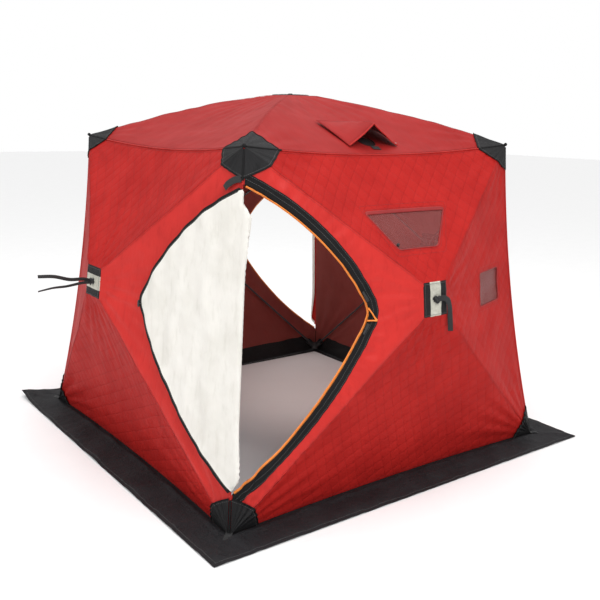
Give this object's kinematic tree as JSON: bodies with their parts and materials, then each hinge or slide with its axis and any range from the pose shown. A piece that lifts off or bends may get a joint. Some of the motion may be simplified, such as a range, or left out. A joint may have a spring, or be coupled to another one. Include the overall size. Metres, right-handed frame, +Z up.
{
  "type": "pop-up ice fishing shelter",
  "caption": "Pop-up hub ice fishing shelter: quilted cloth walls on pivoting hub poles, corner zip doors folded back, clear windows, a roof vent and a wide snow skirt.",
  "frame": {"origin": "on the floor under the middle of the shelter", "axes": "+Z up, front wall faces -Y, left wall faces -X; the pull straps stand out along X"},
  "size_m": [2.582, 2.1192, 1.666],
  "materials": {
    "red_wall": "quilted coated polyester",
    "roof_red": "coated polyester",
    "black_cloth": "black oxford cloth",
    "skirt": "coated black oxford cloth",
    "clear_vinyl": "clear vinyl film",
    "mesh": "open mesh",
    "webbing": "woven webbing",
    "eyelet_metal": "satin",
    "pocket": "moulded",
    "zip": "zip tape and orange coil",
    "hub_plastic": "moulded nylon",
    "patch": "reinforced patch with a reflective band",
    "pin_steel": "bright pin",
    "fibreglass": "pultruded rod with pressed ferrules",
    "slider_metal": "black enamel",
    "lining": "pale inner lining, red outside"
  },
  "bodies": {
    "shelter": {"front_wall": "red_wall", "back_wall": "red_wall", "left_wall": "red_wall", "right_wall": "red_wall", "window_panes": "clear_vinyl", "roof": "roof_red", "vent_mesh": "mesh", "vent_hood": "roof_red", "top_corner_caps": "black_cloth", "base_corner_caps": "black_cloth", "snow_skirt": "skirt", "anchor_straps": "webbing", "anchor_grommets": "eyelet_metal", "corner_pockets": "pocket", "zip_tapes": "zip"},
    "front_hub_body": {"front_hub": "hub_plastic", "front_hub_patch": "patch", "front_hub_pins": "pin_steel", "front_pull_strap": "webbing"},
    "front_pole_lower_left_body": {"front_pole_lower_left": "fibreglass"},
    "front_pole_lower_right_body": {"front_pole_lower_right": "fibreglass"},
    "front_pole_upper_right_body": {"front_pole_upper_right": "fibreglass"},
    "front_pole_upper_left_body": {"front_pole_upper_left": "fibreglass"},
    "right_hub_body": {"right_hub": "hub_plastic", "right_hub_patch": "patch", "right_hub_pins": "pin_steel", "right_pull_strap": "webbing"},
    "right_pole_lower_left_body": {"right_pole_lower_left": "fibreglass"},
    "right_pole_lower_right_body": {"right_pole_lower_right": "fibreglass"},
    "right_pole_upper_right_body": {"right_pole_upper_right": "fibreglass"},
    "right_pole_upper_left_body": {"right_pole_upper_left": "fibreglass"},
    "back_hub_body": {"back_hub": "hub_plastic", "back_hub_patch": "patch", "back_hub_pins": "pin_steel", "back_pull_strap": "webbing"},
    "back_pole_lower_left_body": {"back_pole_lower_left": "fibreglass"},
    "back_pole_lower_right_body": {"back_pole_lower_right": "fibreglass"},
    "back_pole_upper_right_body": {"back_pole_upper_right": "fibreglass"},
    "back_pole_upper_left_body": {"back_pole_upper_left": "fibreglass"},
    "left_hub_body": {"left_hub": "hub_plastic", "left_hub_patch": "patch", "left_hub_pins": "pin_steel", "left_pull_strap": "webbing"},
    "left_pole_lower_left_body": {"left_pole_lower_left": "fibreglass"},
    "left_pole_lower_right_body": {"left_pole_lower_right": "fibreglass"},
    "left_pole_upper_right_body": {"left_pole_upper_right": "fibreglass"},
    "left_pole_upper_left_body": {"left_pole_upper_left": "fibreglass"},
    "roof_hub_body": {"roof_hub": "hub_plastic", "roof_hub_patch": "patch", "roof_hub_pins": "pin_steel"},
    "roof_pole_front_left_body": {"roof_pole_front_left": "fibreglass"},
    "roof_pole_front_right_body": {"roof_pole_front_right": "fibreglass"},
    "roof_pole_back_right_body": {"roof_pole_back_right": "fibreglass"},
    "roof_pole_back_left_body": {"roof_pole_back_left": "fibreglass"},
    "front_door_flap_body": {"front_door_flap": "lining"},
    "front_upper_slider_body": {"front_upper_slider": "slider_metal"},
    "front_lower_slider_body": {"front_lower_slider": "slider_metal"},
    "back_door_flap_body": {"back_door_flap": "lining"},
    "back_upper_slider_body": {"back_upper_slider": "slider_metal"},
    "back_lower_slider_body": {"back_lower_slider": "slider_metal"}
  },
  "joints": [
    {"name": "front_hub_pop", "type": "slide", "parent": "shelter", "child": "front_hub_body", "axis": [0, -0.9934, 0.1144], "range_m": [-0.448, 0], "deforming": ["front_pull_strap"]},
    {"name": "front_pole_lower_left_pivot", "type": "hinge", "parent": "front_hub_body", "child": "front_pole_lower_left_body", "pos_m": [-0.02443, -1.00974, 0.81606], "axis": [0.6723, -0.0847, -0.7354], "range_deg": [-23.61, 0.3]},
    {"name": "front_pole_lower_right_pivot", "type": "hinge", "parent": "front_hub_body", "child": "front_pole_lower_right_body", "pos_m": [0.02443, -1.00974, 0.81606], "axis": [0.6723, 0.0847, 0.7354], "range_deg": [-23.61, 0.3]},
    {"name": "front_pole_upper_right_pivot", "type": "hinge", "parent": "front_hub_body", "child": "front_pole_upper_right_body", "pos_m": [0.02497, -1.00473, 0.85953], "axis": [-0.6538, 0.0865, 0.7517], "range_deg": [-30.51, 0.3]},
    {"name": "front_pole_upper_left_pivot", "type": "hinge", "parent": "front_hub_body", "child": "front_pole_upper_left_body", "pos_m": [-0.02497, -1.00473, 0.85953], "axis": [-0.6538, -0.0865, -0.7517], "range_deg": [-30.51, 0.3]},
    {"name": "right_hub_pop", "type": "slide", "parent": "shelter", "child": "right_hub_body", "axis": [0.9934, 0, 0.1144], "range_m": [-0.448, 0]},
    {"name": "right_pole_lower_left_pivot", "type": "hinge", "parent": "right_hub_body", "child": "right_pole_lower_left_body", "pos_m": [1.00974, -0.02443, 0.81606], "axis": [0.0847, 0.6723, -0.7354], "range_deg": [-23.61, 0.3]},
    {"name": "right_pole_lower_right_pivot", "type": "hinge", "parent": "right_hub_body", "child": "right_pole_lower_right_body", "pos_m": [1.00974, 0.02443, 0.81606], "axis": [-0.0847, 0.6723, 0.7354], "range_deg": [-23.61, 0.3]},
    {"name": "right_pole_upper_right_pivot", "type": "hinge", "parent": "right_hub_body", "child": "right_pole_upper_right_body", "pos_m": [1.00473, 0.02497, 0.85953], "axis": [-0.0865, -0.6538, 0.7517], "range_deg": [-30.51, 0.3]},
    {"name": "right_pole_upper_left_pivot", "type": "hinge", "parent": "right_hub_body", "child": "right_pole_upper_left_body", "pos_m": [1.00473, -0.02497, 0.85953], "axis": [0.0865, -0.6538, -0.7517], "range_deg": [-30.51, 0.3]},
    {"name": "back_hub_pop", "type": "slide", "parent": "shelter", "child": "back_hub_body", "axis": [0, 0.9934, 0.1144], "range_m": [-0.448, 0], "deforming": ["back_pull_strap"]},
    {"name": "back_pole_lower_left_pivot", "type": "hinge", "parent": "back_hub_body", "child": "back_pole_lower_left_body", "pos_m": [0.02443, 1.00974, 0.81606], "axis": [-0.6723, 0.0847, -0.7354], "range_deg": [-23.61, 0.3]},
    {"name": "back_pole_lower_right_pivot", "type": "hinge", "parent": "back_hub_body", "child": "back_pole_lower_right_body", "pos_m": [-0.02443, 1.00974, 0.81606], "axis": [-0.6723, -0.0847, 0.7354], "range_deg": [-23.61, 0.3]},
    {"name": "back_pole_upper_right_pivot", "type": "hinge", "parent": "back_hub_body", "child": "back_pole_upper_right_body", "pos_m": [-0.02497, 1.00473, 0.85953], "axis": [0.6538, -0.0865, 0.7517], "range_deg": [-30.51, 0.3]},
    {"name": "back_pole_upper_left_pivot", "type": "hinge", "parent": "back_hub_body", "child": "back_pole_upper_left_body", "pos_m": [0.02497, 1.00473, 0.85953], "axis": [0.6538, 0.0865, -0.7517], "range_deg": [-30.51, 0.3]},
    {"name": "left_hub_pop", "type": "slide", "parent": "shelter", "child": "left_hub_body", "axis": [-0.9934, 0, 0.1144], "range_m": [-0.448, 0]},
    {"name": "left_pole_lower_left_pivot", "type": "hinge", "parent": "left_hub_body", "child": "left_pole_lower_left_body", "pos_m": [-1.00974, 0.02443, 0.81606], "axis": [-0.0847, -0.6723, -0.7354], "range_deg": [-23.61, 0.3]},
    {"name": "left_pole_lower_right_pivot", "type": "hinge", "parent": "left_hub_body", "child": "left_pole_lower_right_body", "pos_m": [-1.00974, -0.02443, 0.81606], "axis": [0.0847, -0.6723, 0.7354], "range_deg": [-23.61, 0.3]},
    {"name": "left_pole_upper_right_pivot", "type": "hinge", "parent": "left_hub_body", "child": "left_pole_upper_right_body", "pos_m": [-1.00473, -0.02497, 0.85953], "axis": [0.0865, 0.6538, 0.7517], "range_deg": [-30.51, 0.3]},
    {"name": "left_pole_upper_left_pivot", "type": "hinge", "parent": "left_hub_body", "child": "left_pole_upper_left_body", "pos_m": [-1.00473, 0.02497, 0.85953], "axis": [-0.0865, 0.6538, -0.7517], "range_deg": [-30.51, 0.3]},
    {"name": "roof_hub_pop", "type": "slide", "parent": "shelter", "child": "roof_hub_body", "axis": [0, 0, 1], "range_m": [-0.408, 0]},
    {"name": "roof_pole_front_left_pivot", "type": "hinge", "parent": "roof_hub_body", "child": "roof_pole_front_left_body", "pos_m": [-0.02334, -0.02334, 1.627], "axis": [0.7071, -0.7071, 0], "range_deg": [-25.9, 0.3]},
    {"name": "roof_pole_front_right_pivot", "type": "hinge", "parent": "roof_hub_body", "child": "roof_pole_front_right_body", "pos_m": [0.02334, -0.02334, 1.627], "axis": [0.7071, 0.7071, 0], "range_deg": [-25.9, 0.3]},
    {"name": "roof_pole_back_right_pivot", "type": "hinge", "parent": "roof_hub_body", "child": "roof_pole_back_right_body", "pos_m": [0.02334, 0.02334, 1.627], "axis": [-0.7071, 0.7071, 0], "range_deg": [-25.9, 0.3]},
    {"name": "roof_pole_back_left_pivot", "type": "hinge", "parent": "roof_hub_body", "child": "roof_pole_back_left_body", "pos_m": [-0.02334, 0.02334, 1.627], "axis": [-0.7071, -0.7071, 0], "range_deg": [-25.9, 0.3]},
    {"name": "front_door_swing", "type": "hinge", "parent": "shelter", "child": "front_door_flap_body", "pos_m": [-0.91256, -0.91256, 0.00589], "axis": [0.1136, 0.1136, 0.987], "range_deg": [0, 233.47]},
    {"name": "front_upper_zip", "type": "hinge", "parent": "shelter", "child": "front_upper_slider_body", "pos_m": [-1.25118, -0.74192, 0.31767], "axis": [-0.297, -0.9441, 0.1429], "range_deg": [0, 31.3]},
    {"name": "front_lower_zip", "type": "hinge", "parent": "shelter", "child": "front_lower_slider_body", "pos_m": [-1.81507, -0.35801, 1.6826], "axis": [-0.297, -0.9441, 0.1429], "range_deg": [-23.43, 0]},
    {"name": "back_door_swing", "type": "hinge", "parent": "shelter", "child": "back_door_flap_body", "pos_m": [0.91256, 0.91256, 0.00589], "axis": [-0.1136, -0.1136, 0.987], "range_deg": [0, 233.47]},
    {"name": "back_upper_zip", "type": "hinge", "parent": "shelter", "child": "back_upper_slider_body", "pos_m": [1.25118, 0.74192, 0.31767], "axis": [0.297, 0.9441, 0.1429], "range_deg": [0, 31.3]},
    {"name": "back_lower_zip", "type": "hinge", "parent": "shelter", "child": "back_lower_slider_body", "pos_m": [1.81507, 0.35801, 1.6826], "axis": [0.297, 0.9441, 0.1429], "range_deg": [-23.43, 0]}
  ],
  "couplings": [
    {"joint": "front_pole_lower_left_pivot", "follows": "front_hub_pop", "rad_per_m": 0.90826},
    {"joint": "front_pole_lower_right_pivot", "follows": "front_hub_pop", "rad_per_m": 0.90826},
    {"joint": "front_pole_upper_right_pivot", "follows": "front_hub_pop", "rad_per_m": 1.1768},
    {"joint": "front_pole_upper_left_pivot", "follows": "front_hub_pop", "rad_per_m": 1.1768},
    {"joint": "right_pole_lower_left_pivot", "follows": "right_hub_pop", "rad_per_m": 0.90826},
    {"joint": "right_pole_lower_right_pivot", "follows": "right_hub_pop", "rad_per_m": 0.90826},
    {"joint": "right_pole_upper_right_pivot", "follows": "right_hub_pop", "rad_per_m": 1.1768},
    {"joint": "right_pole_upper_left_pivot", "follows": "right_hub_pop", "rad_per_m": 1.1768},
    {"joint": "back_pole_lower_left_pivot", "follows": "back_hub_pop", "rad_per_m": 0.90826},
    {"joint": "back_pole_lower_right_pivot", "follows": "back_hub_pop", "rad_per_m": 0.90826},
    {"joint": "back_pole_upper_right_pivot", "follows": "back_hub_pop", "rad_per_m": 1.1768},
    {"joint": "back_pole_upper_left_pivot", "follows": "back_hub_pop", "rad_per_m": 1.1768},
    {"joint": "left_pole_lower_left_pivot", "follows": "left_hub_pop", "rad_per_m": 0.90826},
    {"joint": "left_pole_lower_right_pivot", "follows": "left_hub_pop", "rad_per_m": 0.90826},
    {"joint": "left_pole_upper_right_pivot", "follows": "left_hub_pop", "rad_per_m": 1.1768},
    {"joint": "left_pole_upper_left_pivot", "follows": "left_hub_pop", "rad_per_m": 1.1768},
    {"joint": "roof_pole_front_left_pivot", "follows": "roof_hub_pop", "rad_per_m": 1.095},
    {"joint": "roof_pole_front_right_pivot", "follows": "roof_hub_pop", "rad_per_m": 1.095},
    {"joint": "roof_pole_back_right_pivot", "follows": "roof_hub_pop", "rad_per_m": 1.095},
    {"joint": "roof_pole_back_left_pivot", "follows": "roof_hub_pop", "rad_per_m": 1.095}
  ]
}
